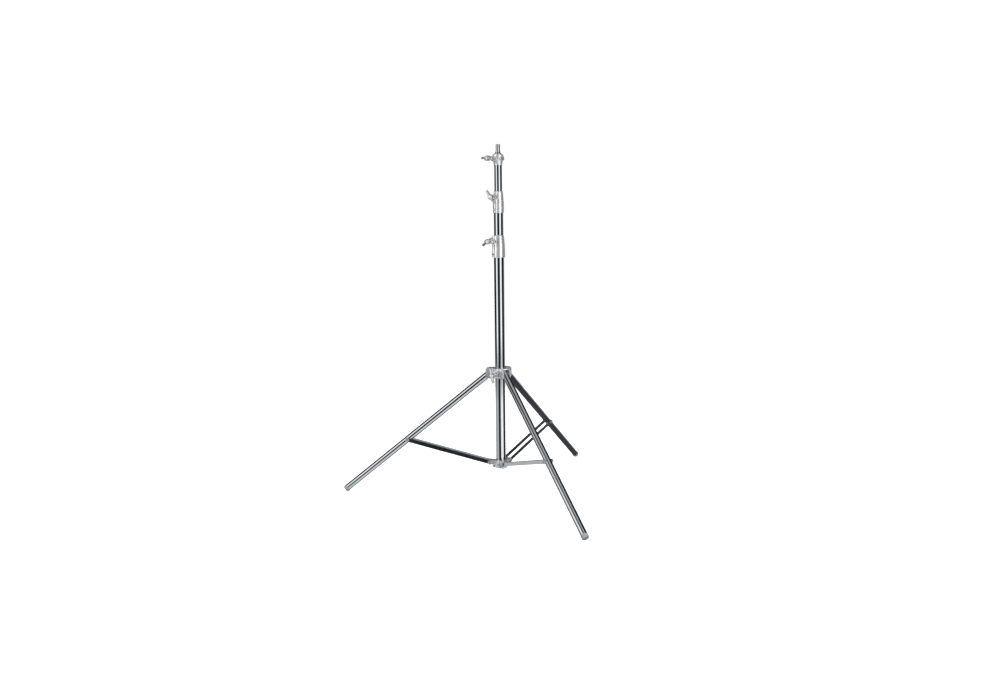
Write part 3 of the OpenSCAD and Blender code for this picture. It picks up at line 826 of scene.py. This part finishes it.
class STAND_OT_collars(StandOperator, bpy.types.Operator):
    """The two collar castings and the head"""
    bl_idname = "stand.collars"
    bl_label = "Collars and head"

    def execute(self, context):
        sizes = context.scene.stand_sizes
        for name, body, tube, riser in (("lower", "column", "column_tube", "riser_1_tube"),
                                        ("upper", "riser_1", "riser_1_tube", "riser_2_tube")):
            piece = self.collar(name, tube, riser, sizes)
            finish_casting(piece, body, f"{name}_collar")
        head = self.head(sizes)
        finish_casting(head, "riser_2", "head_receiver")
        return {"FINISHED"}

    def collar(self, name, tube, riser, sizes):
        """A tapered sleeve with a full-height rib and a round boss for the clamp screw."""
        node = f"{name}_collar"
        low, high = heights(node)
        tall = high - low
        origin, axis = pivot(f"{name}_lock_turn")
        away = -axis
        points = points_of(node)
        plain_side = points[points @ np.array(away) > 0]
        foot_r = float((plain_side[plain_side[:, 2] < low + 5 * MM] @ np.array(away)).max())
        top_r = float((plain_side[plain_side[:, 2] > high - 3.5 * MM] @ np.array(away)).max())
        tube_r = reach(tube, MAST_FOOT, UP)
        riser_r = reach(riser, MAST_FOOT, UP)
        _, tube_top = heights(tube)
        core = riser_r - 2 * MM
        sleeve = lathe("sleeve", [(core, low), (foot_r - 0.8 * MM, low), (foot_r, low + 0.8 * MM),
                                  (foot_r, low + 0.35 * tall),
                                  (top_r + 0.45 * (foot_r - top_r), low + 0.75 * tall),
                                  (top_r, high - 2.5 * MM), (top_r - 0.8 * MM, high - 0.8 * MM),
                                  (top_r - 2 * MM, high), (core, high)])
        rib_low = float((points[points[:, 2] < low + 3 * MM] @ np.array(axis)).max())
        rib_high = float((points[points[:, 2] > high - 3 * MM] @ np.array(axis)).max())
        rib = self.rib(rib_low, rib_high, low + 0.8 * MM, high - 1 * MM)
        place(rib, standing(MAST_FOOT, UP, UP.cross(axis)))
        boss_reach = origin.xy.length
        rounding = 0.8 * MM
        boss = lathe("boss", [(0, riser_r + BITE), (LOCK_BOSS_R, riser_r + BITE),
                              (LOCK_BOSS_R, boss_reach - rounding),
                              (LOCK_BOSS_R - rounding, boss_reach), (0, boss_reach)], 64)
        facing(boss, origin.z, axis)
        piece = fuse([sleeve, rib, boss], f"{name}_collar_casting", sizes.cast_voxel, 6)
        seat = cylinder("seat", 5 * MM, rib_low - 3 * MM, rib_low + BEYOND, 48)
        cutters = [bore(tube_r + PRESSED, low - BEYOND, tube_top),
                   bore(riser_r + CLEAR, low - BEYOND, high + BEYOND),
                   facing(seat, low + 12.5 * MM, axis)]
        return cut(piece, cutters + lock_cutters(name))

    def rib(self, reach_low, reach_high, low, high):
        """A rib with a round nose, a little deeper at its foot than at its top."""
        half = 8.5 * MM
        piece = cylinder("rib", half, low, high, 48)
        for at, nose in ((low, reach_low), (high, reach_high)):
            stretch(piece, nose - half, lambda co: co.x > 1e-6 and abs(co.z - at) < 0.1 * MM)
        return piece

    def head(self, sizes):
        """Flared receiver with the clamp boss and a screw boss beside it."""
        low, high = heights("head_receiver")
        origin, axis = pivot("head_lock_turn")
        riser_r = reach("riser_2_tube", MAST_FOOT, UP)
        socket_r = inner_reach("riser_2_tube", MAST_FOOT, UP)
        _, tube_top = heights("riser_2_tube")
        core = riser_r - 2 * MM
        neck, wide = 16 * MM, 20 * MM
        sleeve = lathe("sleeve", [(core, low), (neck - 0.6 * MM, low), (neck, low + 0.6 * MM),
                                  (neck, low + 5 * MM), (wide - 1 * MM, low + 19 * MM),
                                  (wide, low + 23 * MM), (wide, high - 4 * MM),
                                  (wide - 1.2 * MM, high - 1.2 * MM), (wide - 4 * MM, high),
                                  (core, high)])
        boss = cylinder("boss", LOCK_BOSS_R, riser_r + BITE, origin.xy.length, 64)
        facing(boss, origin.z, axis)
        side_axis, _ = head_screw_line()
        side_reach = 25 * MM
        side = cylinder("side_boss", 9.5 * MM, riser_r + BITE, side_reach, 64)
        facing(side, origin.z, side_axis)
        piece = fuse([sleeve, boss, side], "head_casting", sizes.cast_voxel * 0.8, 5)
        past = 3 * BEYOND
        seat = cylinder("seat", 6.5 * MM, side_reach - 2.5 * MM, past, 48)
        screw = cylinder("screw", 3 * MM, 0, past, 32)
        cutters = [bore(riser_r + PRESSED, low - BEYOND, tube_top),
                   bore(socket_r, low - 1.5 * BEYOND, high + BEYOND),
                   facing(seat, origin.z, side_axis), facing(screw, origin.z, side_axis)]
        return cut(piece, cutters + lock_cutters("head"))


def head_screw_line():
    """Which way the screw in the head's side points, and its height."""
    low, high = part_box("head_screw")
    middle = (Vector(low) + Vector(high)) / 2
    return Vector((middle.x, middle.y, 0)).normalized(), middle.z


class STAND_OT_stud(StandOperator, bpy.types.Operator):
    """The removable stud with its cone and spigot"""
    bl_idname = "stand.stud"
    bl_label = "Stud"

    def execute(self, context):
        low, high = heights("stud")
        high -= 0.01 * MM
        base = low + 50 * MM
        spigot = inner_reach("riser_2_tube", MAST_FOOT, UP) - PLUGGED
        flange, lip, pin = 11 * MM, 10.4 * MM, 7.95 * MM
        outline = [(0, low), (spigot - 1 * MM, low), (spigot, low + 1 * MM), (spigot, base),
                   (spigot + 0.8 * MM, base), (spigot + 0.8 * MM, base + 1.6 * MM),
                   (flange, base + 2.2 * MM), (lip, base + 3.2 * MM)]
        cone_low, cone_high = base + 3.2 * MM, base + 14 * MM
        for step in range(1, 9):
            t = step / 8
            radius = pin + (lip - pin) * (1 - t) ** 1.5
            outline.append((radius, cone_low + (cone_high - cone_low) * t))
        outline += [(pin, high - 1 * MM), (pin - 1 * MM, high), (3.2 * MM, high),
                    (2.6 * MM, high - 0.6 * MM), (0, high - 0.6 * MM)]
        piece = lathe("stud_turned", outline, 96)
        soften(piece, 0.2 * MM, segments=2)
        finish_piece(piece, "stud_steel", "stud", "stud")
        return {"FINISHED"}


class STAND_OT_handles(StandOperator, bpy.types.Operator):
    """The four T-handles and their clamp screws"""
    bl_idname = "stand.handles"
    bl_label = "T-handles and screws"

    def execute(self, context):
        sizes = context.scene.stand_sizes
        pattern = self.pattern(sizes)
        for lock in LOCKS:
            origin, axis = pivot(f"{lock}_lock_turn")
            handle = copy_of(pattern, f"{lock}_handle_cast")
            place(handle, standing(origin, axis, bar_direction(lock)))
            finish_piece(handle, "cast_handle", f"{lock}_lock", f"{lock}_lock_handle",
                         smooth_angle=50)
            screw = self.screw(lock, origin, axis, sizes)
            finish_piece(screw, "plated_fastener", f"{lock}_lock", f"{lock}_lock_screw")
        bpy.data.objects.remove(pattern)
        return {"FINISHED"}

    def pattern(self, sizes):
        """One T-handle on the local axis, its bar along local Y."""
        origin, axis = pivot("lower_lock_turn")
        low, high = span("lower_lock_handle", origin, axis)
        tip = reach("lower_lock_handle", origin, axis)
        middle = high - 10 * MM
        waist = sizes.hub_waist
        hub = lathe("hub", [(0, low), (8.6 * MM, low), (8.8 * MM, low + 0.5 * MM),
                            (8.8 * MM, low + 2.2 * MM), (waist, low + 4.8 * MM),
                            (waist, low + 7 * MM), (9.3 * MM, low + 13 * MM),
                            (10.2 * MM, low + 19 * MM), (10 * MM, low + 25 * MM),
                            (8.8 * MM, high - 4 * MM), (6.4 * MM, high - 1 * MM),
                            (3.5 * MM, high), (0, high)], 64)
        wings = [self.wing(side, middle, tip) for side in (1, -1)]
        return fuse([hub] + wings, "handle_pattern", sizes.handle_voxel, 6)

    def wing(self, side, middle, tip):
        """A wing that thins past the hub and ends in a rounded pad."""
        half_wide, half_tall, at = 5.8 * MM, 9.5 * MM, 8 * MM
        piece = box("wing", (-half_wide, 0, middle - half_tall),
                    (half_wide, at, middle + half_tall))
        bpy.ops.object.mode_set(mode="EDIT")
        # How far each stretch goes on, and what it does to the width and the depth
        for advance, thin, shallow in ((6 * MM, 0.84, 0.8), (6 * MM, 0.94, 0.9),
                                       (5 * MM, 1.14, 1.0), (4 * MM, 0.92, 0.9)):
            select_faces(piece, lambda centre, normal: normal.y > 0.9 and centre.y > at - CLEAR)
            bpy.ops.mesh.extrude_region_move(TRANSFORM_OT_translate={"value": (0, advance, 0)})
            at += advance
            bpy.ops.transform.resize(value=(thin, 1, shallow), center_override=(0, at, middle))
        leave_edit()
        apply_modifier(piece, "SUBSURF", levels=3, render_levels=3)
        furthest = max(vert.co.y for vert in piece.data.vertices)
        piece.scale = (1, side * tip / furthest, 1)
        bpy.ops.object.transform_apply(location=True, rotation=True, scale=True)
        edit_all(piece)
        leave_edit()
        return piece

    def screw(self, lock, origin, axis, sizes):
        """A clamp screw with its thread turned as rings, and a plain tip."""
        node = f"{lock}_lock_screw"
        low, high = span(node, origin, axis)
        outer = reach(node, origin, axis)
        root = outer - 0.55 * MM
        pitch = sizes.thread_pitch
        shoulder = low + 2.5 * MM
        outline = [(0, low), (2.4 * MM, low), (2.95 * MM, low + 0.6 * MM), (2.95 * MM, shoulder),
                   (root - 0.3 * MM, shoulder), (root, shoulder + 0.4 * MM)]
        turns = int((high - shoulder - 1 * MM) / pitch)
        for turn in range(turns):
            start = shoulder + 0.5 * MM + turn * pitch
            outline += [(outer, start + 0.45 * pitch), (outer, start + 0.55 * pitch),
                        (root, start + pitch)]
        outline += [(root, high), (0, high)]
        piece = lathe(f"{lock}_clamp_screw", outline, 40)
        return place(piece, standing(origin, axis, UP))


class STAND_OT_fasteners(StandOperator, bpy.types.Operator):
    """Pivot bolts and nuts, rivets and the screws of the castings"""
    bl_idname = "stand.fasteners"
    bl_label = "Fasteners"

    def execute(self, context):
        sizes = context.scene.stand_sizes
        zinc = "plated_fastener"
        for kind, body in (("leg", "leg_spider"), ("brace", "column")):
            bolts = join([self.bolt(kind, n, sizes) for n in LEGS], f"{kind}_pivot_bolt_set")
            finish_piece(bolts, zinc, body, f"{kind}_pivot_bolts")
            nuts = join([self.nut(kind, n, sizes) for n in LEGS], f"{kind}_pivot_nut_set")
            finish_piece(nuts, zinc, body, f"{kind}_pivot_nuts")
        rivets = join([self.rivet(n) for n in LEGS], "brace_spider_rivet_set")
        finish_piece(rivets, zinc, "column", "brace_spider_rivets")
        for name, body in (("lower", "column"), ("upper", "riser_1")):
            screws = self.collar_screws(name)
            finish_piece(screws, zinc, body, f"{name}_collar_screws")
        screw = self.head_screw()
        finish_piece(screw, zinc, "riser_2", "head_screw")
        return {"FINISHED"}

    def at_pivot(self, node, kind, n):
        """The pivot, its tangent and (distance along, distance out) of the node's points there."""
        origin, _ = pivot(f"{kind}_{n}_fold")
        _, tangent = leg_plane(n)
        offsets = [Vector(point) - origin for point in points_of(node)]
        near = [offset for offset in offsets if offset.length < 2 * BEYOND]
        return origin, tangent, [(offset.dot(tangent),
                                  (offset - tangent * offset.dot(tangent)).length)
                                 for offset in near]

    def bolt(self, kind, n, sizes):
        """A flange bolt: hexagon on one side, a chamfered thread end on the other."""
        origin, tangent, points = self.at_pivot(f"{kind}_pivot_bolts", kind, n)
        wide = [along for along, out in points if out > 5 * MM]
        side = 1 if sum(wide) > 0 else -1
        seat, head_top = min(side * a for a in wide), max(side * a for a in wide)
        tail = min(side * along for along, _ in points)
        head = hexagon_head("head", HEXAGON_R, HEXAGON_FLANGE_R, seat, head_top,
                            sizes.bolt_chamfer)
        shank = lathe("shank", [(0, tail), (3 * MM, tail), (3.95 * MM, tail + 0.9 * MM),
                                (3.95 * MM, seat + 0.5 * MM), (0, seat + 0.5 * MM)], 40)
        part = join([head, shank], "bolt")
        return place(part, standing(origin, tangent * side, UP))

    def nut(self, kind, n, sizes):
        """A flange nut on the bolt's free end."""
        origin, tangent, points = self.at_pivot(f"{kind}_pivot_nuts", kind, n)
        side = 1 if sum(along for along, _ in points) > 0 else -1
        low, high = min(side * a for a, _ in points), max(side * a for a, _ in points)
        head = hexagon_head("nut", HEXAGON_R, HEXAGON_FLANGE_R, low, high, sizes.bolt_chamfer)
        return place(head, standing(origin, tangent * side, UP))

    def rivet(self, n):
        """A domed rivet between two lugs of the brace spider."""
        outward, _ = leg_plane(n)
        axis = Matrix.Rotation(math.radians(60), 3, "Z") @ outward
        centre = mast_point(sum(heights("brace_spider_rivets")) / 2)
        _, high = span("brace_spider_rivets", centre, axis)
        # (radius, depth below the top of the dome), in mm
        outline = [(radius * MM, high - depth * MM) for radius, depth in
                   ((0, 5.5), (2.5, 5.5), (2.5, 2.8), (4.8, 2.8), (4.9, 2.2), (4.2, 1.2),
                    (2.8, 0.4), (1.4, 0.05), (0, 0))]
        piece = lathe("rivet", outline, 40)
        return place(piece, standing(centre, axis, UP))

    def socket_screw(self, head_r, shank_r, tip, seat, top):
        """A cheese-headed socket screw on the local axis."""
        body = lathe("screw", [(0, tip), (shank_r, tip), (shank_r, seat), (head_r, seat),
                               (head_r, top - 0.5 * MM), (head_r - 0.5 * MM, top), (0, top)], 48)
        socket = cylinder("socket", head_r * 0.58, top - 2.2 * MM, top + 5 * MM, 6)
        return cut(body, [socket])

    def collar_screws(self, name):
        """One screw in the rib and one in the plain side opposite."""
        _, axis = pivot(f"{name}_lock_turn")
        node = f"{name}_collar_screws"
        centre = mast_point(sum(heights(node)) / 2)
        tube = "column_tube" if name == "lower" else "riser_1_tube"
        start = reach(tube, MAST_FOOT, UP) + PRESSED
        parts = []
        for side in (1, -1):
            _, top = span(node, centre, axis * side)
            part = self.socket_screw(4.6 * MM, 2.85 * MM, start, top - 3.6 * MM, top)
            parts.append(place(part, standing(centre, axis * side, UP)))
        return join(parts, f"{name}_collar_screw_set")

    def head_screw(self):
        """The screw that holds the head on its riser."""
        axis, height = head_screw_line()
        centre = mast_point(height)
        start, top = span("head_screw", centre, axis)
        part = self.socket_screw(5.4 * MM, 2.95 * MM, start, top - 3.2 * MM, top)
        place(part, standing(centre, axis, UP))
        return join([part], "head_screw_set")


class STAND_OT_inner_pieces(StandOperator, bpy.types.Operator):
    """Finishes for the bushes, shoes, sleeves and plug, whose CAD shapes are kept"""
    bl_idname = "stand.inner_pieces"
    bl_label = "Inner pieces"

    def execute(self, context):
        finishes = {"black_nylon": ["column_end_plug", "riser_1_bush", "riser_2_bush"]
                    + [f"{lock}_lock_shoe" for lock in LOCKS],
                    "plated_fastener": [f"leg_{n}_sleeve" for n in LEGS]}
        for finish, nodes in finishes.items():
            for node in nodes:
                mesh = frame["nodes"][node].data
                mesh.materials.clear()
                mesh.materials.append(finish_named(finish))
        return {"FINISHED"}


class STAND_OT_stage(StandOperator, bpy.types.Operator):
    """Camera, floor, backdrop and studio light"""
    bl_idname = "stand.stage"
    bl_label = "Stage"

    # Soft panels round the stand: first and last bearing from the camera's side in degrees,
    # lowest and highest height on the unit sphere, strength
    PANELS = ((-70, -35, -0.16, 0.68, 1.55),    # tall strip, left
              (23, 61, -0.16, 0.6, 1.6),        # tall strip, right
              (-88, -70, 0.1, 0.45, 1.45),      # wing of the left strip
              (-130, -42, -0.34, -0.18, 0.7),   # low reflector, left
              (10, 68, -0.34, -0.18, 1.6),      # low reflector, right
              (-60, 75, -1.1, -0.38, 0.9),      # lit floor in front
              (-190, 190, -1.1, -0.4, 0.05),    # unlit floor
              (-190, 190, 0.93, 1.1, 0.6),      # ceiling
              (122, 160, -0.3, 0.02, 0.25),     # wall behind on the right
              (160, 190, -0.6, -0.1, 1.0),      # white sweep behind
              (-190, -160, -0.6, -0.1, 1.0))
    SOFT_BEARING = 5 / 360    # softness of a panel's sides, as a part of the way round
    SOFT_HEIGHT = 0.012       # and of its top and foot, as a part of the way up
    SOFT_BOX_SIZE = 1.6

    def execute(self, context):
        self.camera(context)
        self.floor(context)
        self.soft_boxes(context)
        self.studio(context)
        context.scene.view_settings.view_transform = "Standard"
        return {"FINISHED"}

    def camera(self, context):
        """Eye height a little above the middle of the stand, level with its collars."""
        distance, height, bearing = 3.4487, 1.0799, math.radians(3.05)
        tilt, roll, pan = math.radians(-8.363), math.radians(-0.607), math.radians(0.09)
        data = bpy.data.cameras.new("camera")
        data.sensor_width = 36
        data.lens = 32.67
        data.clip_end = 50
        camera = bpy.data.objects.new("camera", data)
        context.collection.objects.link(camera)
        camera.matrix_world = (
            Matrix.Rotation(bearing, 4, "Z") @ Matrix.Translation((0, -distance, height))
            @ Matrix.Rotation(pan, 4, "Z") @ Matrix.Rotation(math.pi / 2 + tilt, 4, "X")
            @ Matrix.Rotation(roll, 4, "Z"))
        context.scene.camera = camera

    def floor(self, context):
        """A pale disc that fades into the white around it."""
        deselect()
        bpy.ops.mesh.primitive_circle_add(vertices=128, radius=2.2, fill_type="NGON")
        floor = named("floor")
        material, _, shader = new_material("pale studio floor")
        shader.inputs["Base Color"].default_value = context.scene.stand_colours.floor
        shader.inputs["Roughness"].default_value = 0.9
        shader.inputs["Emission Color"].default_value = (1, 1, 1, 1)
        shader.inputs["Emission Strength"].default_value = 0.75
        floor.data.materials.append(material)
        floor.visible_glossy = floor.visible_diffuse = False

    def soft_boxes(self, context):
        """Large soft lights that only the matt finishes pick up."""
        for name, spot, watts in (("key_left", (-2.2, -2.4, 2.2), 110),
                                  ("fill_right", (2.4, -2.0, 1.8), 95),
                                  ("top", (0.2, 0.4, 3.4), 35)):
            data = bpy.data.lights.new(name, "AREA")
            data.shape = "SQUARE"
            data.size = self.SOFT_BOX_SIZE
            data.energy = watts
            light = bpy.data.objects.new(name, data)
            context.collection.objects.link(light)
            aim = Vector((0, 0, 0.8)) - Vector(spot)
            light.matrix_world = (Matrix.Translation(spot)
                                  @ aim.to_track_quat("-Z", "Y").to_matrix().to_4x4())
            light.visible_glossy = light.visible_camera = False

    def studio(self, context):
        """White for the camera; soft panels in a dark studio for the reflections."""
        colours = context.scene.stand_colours
        world = bpy.data.worlds.new("studio")
        world.use_nodes = True
        context.scene.world = world
        tree = world.node_tree
        tree.nodes.clear()
        where = add_node(tree, "ShaderNodeTexCoord").outputs["Generated"]
        split = add_node(tree, "ShaderNodeSeparateXYZ", links={"Vector": where})
        back = add_node(tree, "ShaderNodeMath", {"operation": "MULTIPLY"}, {0: split.outputs["Y"]})
        back.inputs[1].default_value = -1
        angle = add_node(tree, "ShaderNodeMath", {"operation": "ARCTAN2"},
                         {0: split.outputs["X"], 1: back.outputs[0]})
        bearing = add_node(tree, "ShaderNodeMapRange", {"From Min": -math.pi, "From Max": math.pi},
                           {"Value": angle.outputs[0]})
        height = add_node(tree, "ShaderNodeMapRange", {"From Min": -1.0, "From Max": 1.0},
                          {"Value": split.outputs["Z"]})
        room = add_node(tree, "ShaderNodeBackground", {"Color": tuple(colours.dark_studio)})
        for start, end, low, high, strength in self.PANELS:
            across = ramp(tree, bearing.outputs["Result"],
                          self.soft_range((start + 180) / 360, (end + 180) / 360,
                                          self.SOFT_BEARING))
            upward = ramp(tree, height.outputs["Result"],
                          self.soft_range((low + 1) / 2, (high + 1) / 2,
                                          self.SOFT_HEIGHT))
            # The colour inputs of a Mix node are its numbers 6 and 7
            both = add_node(tree, "ShaderNodeMix", {"data_type": "RGBA", "blend_type": "MULTIPLY"},
                            {6: across, 7: upward})
            both.inputs[0].default_value = 1.0
            panel = add_node(tree, "ShaderNodeBackground", {"Strength": strength},
                             {"Color": both.outputs[2]})
            room = add_node(tree, "ShaderNodeAddShader",
                            links={0: room.outputs[0], 1: panel.outputs[0]})
        white = add_node(tree, "ShaderNodeBackground", {"Color": tuple(colours.backdrop)})
        seen = add_node(tree, "ShaderNodeLightPath").outputs["Is Camera Ray"]
        either = add_node(tree, "ShaderNodeMixShader",
                          links={"Fac": seen, 1: room.outputs[0], 2: white.outputs[0]})
        add_node(tree, "ShaderNodeOutputWorld", links={"Surface": either.outputs[0]})

    def soft_range(self, start, end, soft):
        """Ramp stops that are bright between start and end, with soft edges."""
        rise = [(0.0, grey(1.0))]
        if start > soft:
            rise = [(start - soft, grey(0.0)), (start + soft, grey(1.0))]
        fall = [(1.0, grey(1.0))]
        if end < 1 - soft:
            fall = [(end - soft, grey(1.0)), (end + soft, grey(0.0))]
        return rise + fall


class STAND_PT_panel(bpy.types.Panel):
    """Lists the operators in the order they are run"""
    bl_label = "Lighting stand"
    bl_idname = "STAND_PT_panel"
    bl_space_type = "VIEW_3D"
    bl_region_type = "UI"
    bl_category = "Lighting stand"

    def draw(self, context):
        for operator in OPERATORS:
            self.layout.operator(operator.bl_idname)
        for settings in (context.scene.stand_sizes, context.scene.stand_colours):
            for name in settings.__annotations__:
                self.layout.prop(settings, name)


OPERATORS = (STAND_OT_stage, STAND_OT_mast, STAND_OT_legs, STAND_OT_braces, STAND_OT_spiders,
             STAND_OT_collars, STAND_OT_stud, STAND_OT_handles, STAND_OT_fasteners,
             STAND_OT_inner_pieces)
CLASSES = (StandSizes, StandColours) + OPERATORS + (STAND_PT_panel,)


def register():
    for cls in CLASSES:
        bpy.utils.register_class(cls)
    bpy.types.Scene.stand_sizes = bpy.props.PointerProperty(type=StandSizes)
    bpy.types.Scene.stand_colours = bpy.props.PointerProperty(type=StandColours)


def unregister():
    del bpy.types.Scene.stand_colours
    del bpy.types.Scene.stand_sizes
    for cls in reversed(CLASSES):
        bpy.utils.unregister_class(cls)


def main():
    """Builds the whole stand around its frame."""
    register()
    for operator in OPERATORS:
        group, name = operator.bl_idname.split(".")
        getattr(getattr(bpy.ops, group), name)()


if __name__ == "__main__":
    main()
